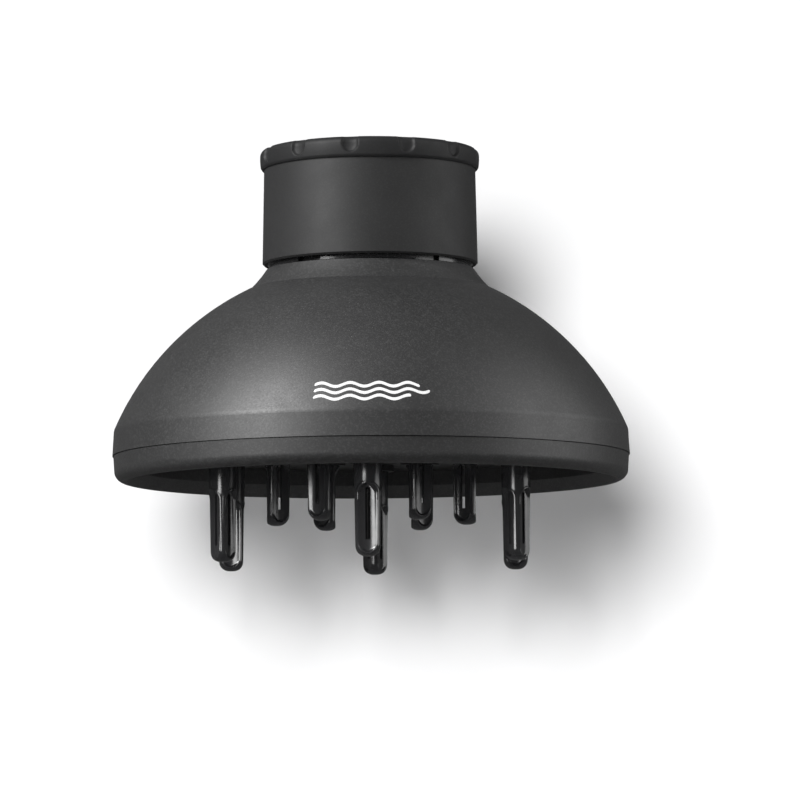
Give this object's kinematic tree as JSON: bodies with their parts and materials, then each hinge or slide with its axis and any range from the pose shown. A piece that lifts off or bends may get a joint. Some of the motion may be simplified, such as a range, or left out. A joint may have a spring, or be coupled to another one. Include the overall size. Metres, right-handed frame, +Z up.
{
  "type": "dryer diffuser",
  "caption": "Bowl-shaped hair dryer diffuser with hollow fluted fingers under a perforated plate and a turning collar whose jaws clamp the dryer's nozzle",
  "frame": {"origin": "centre of the plane through the long fingers' tips, on the axis of the bowl and collar", "axes": "+Z up along the collar's axis towards the dryer; -Y is the front, where one outer finger stands; +X to the right"},
  "size_m": [0.17, 0.17, 0.1374],
  "materials": {
    "soft_touch_shell": "soft-touch charcoal with a fine sparkle grain",
    "moulded_plate": "plain moulded black",
    "gloss_prong": "polished black",
    "satin_sleeve": "satin charcoal",
    "grip_rubber": "dull soft rubber",
    "gloss_plastic": "polished black",
    "pad_rubber": "dull silicone",
    "screw_steel": "zinc-plated steel"
  },
  "bodies": {
    "bowl": {"dome_shell": "soft_touch_shell", "rim_ring": "soft_touch_shell", "prong_plate": "moulded_plate", "long_prong_1": "gloss_prong", "long_prong_2": "gloss_prong", "long_prong_3": "gloss_prong", "long_prong_4": "gloss_prong", "long_prong_5": "gloss_prong", "long_prong_6": "gloss_prong", "short_prong_1": "gloss_prong", "short_prong_2": "gloss_prong", "short_prong_3": "gloss_prong", "short_prong_4": "gloss_prong", "short_prong_5": "gloss_prong", "short_prong_6": "gloss_prong", "jaw_carrier": "moulded_plate", "carrier_screws": "screw_steel"},
    "collar": {"grip_sleeve": "satin_sleeve", "grip_band": "grip_rubber", "scroll_ring": "gloss_plastic"},
    "jaw_slider_1": {"jaw_1": "moulded_plate", "jaw_pad_1": "pad_rubber"},
    "jaw_slider_2": {"jaw_2": "moulded_plate", "jaw_pad_2": "pad_rubber"},
    "jaw_slider_3": {"jaw_3": "moulded_plate", "jaw_pad_3": "pad_rubber"},
    "jaw_slider_4": {"jaw_4": "moulded_plate", "jaw_pad_4": "pad_rubber"},
    "jaw_slider_5": {"jaw_5": "moulded_plate", "jaw_pad_5": "pad_rubber"}
  },
  "joints": [
    {"name": "collar_turn", "type": "hinge", "parent": "bowl", "child": "collar", "pos_m": [0, 0, 0.09895], "axis": [0, 0, 1], "range_deg": [0, 60]},
    {"name": "jaw_slide_1", "type": "slide", "parent": "bowl", "child": "jaw_slider_1", "axis": [0, 1, 0], "range_m": [0, 0.005]},
    {"name": "jaw_slide_2", "type": "slide", "parent": "bowl", "child": "jaw_slider_2", "axis": [-0.9511, 0.309, 0], "range_m": [0, 0.005]},
    {"name": "jaw_slide_3", "type": "slide", "parent": "bowl", "child": "jaw_slider_3", "axis": [-0.5878, -0.809, 0], "range_m": [0, 0.005]},
    {"name": "jaw_slide_4", "type": "slide", "parent": "bowl", "child": "jaw_slider_4", "axis": [0.5878, -0.809, 0], "range_m": [0, 0.005]},
    {"name": "jaw_slide_5", "type": "slide", "parent": "bowl", "child": "jaw_slider_5", "axis": [0.9511, 0.309, 0], "range_m": [0, 0.005]}
  ],
  "couplings": [
    {"joint": "jaw_slide_1", "follows": "collar_turn", "m_per_rad": 0.0047746},
    {"joint": "jaw_slide_2", "follows": "collar_turn", "m_per_rad": 0.0047746},
    {"joint": "jaw_slide_3", "follows": "collar_turn", "m_per_rad": 0.0047746},
    {"joint": "jaw_slide_4", "follows": "collar_turn", "m_per_rad": 0.0047746},
    {"joint": "jaw_slide_5", "follows": "collar_turn", "m_per_rad": 0.0047746}
  ]
}
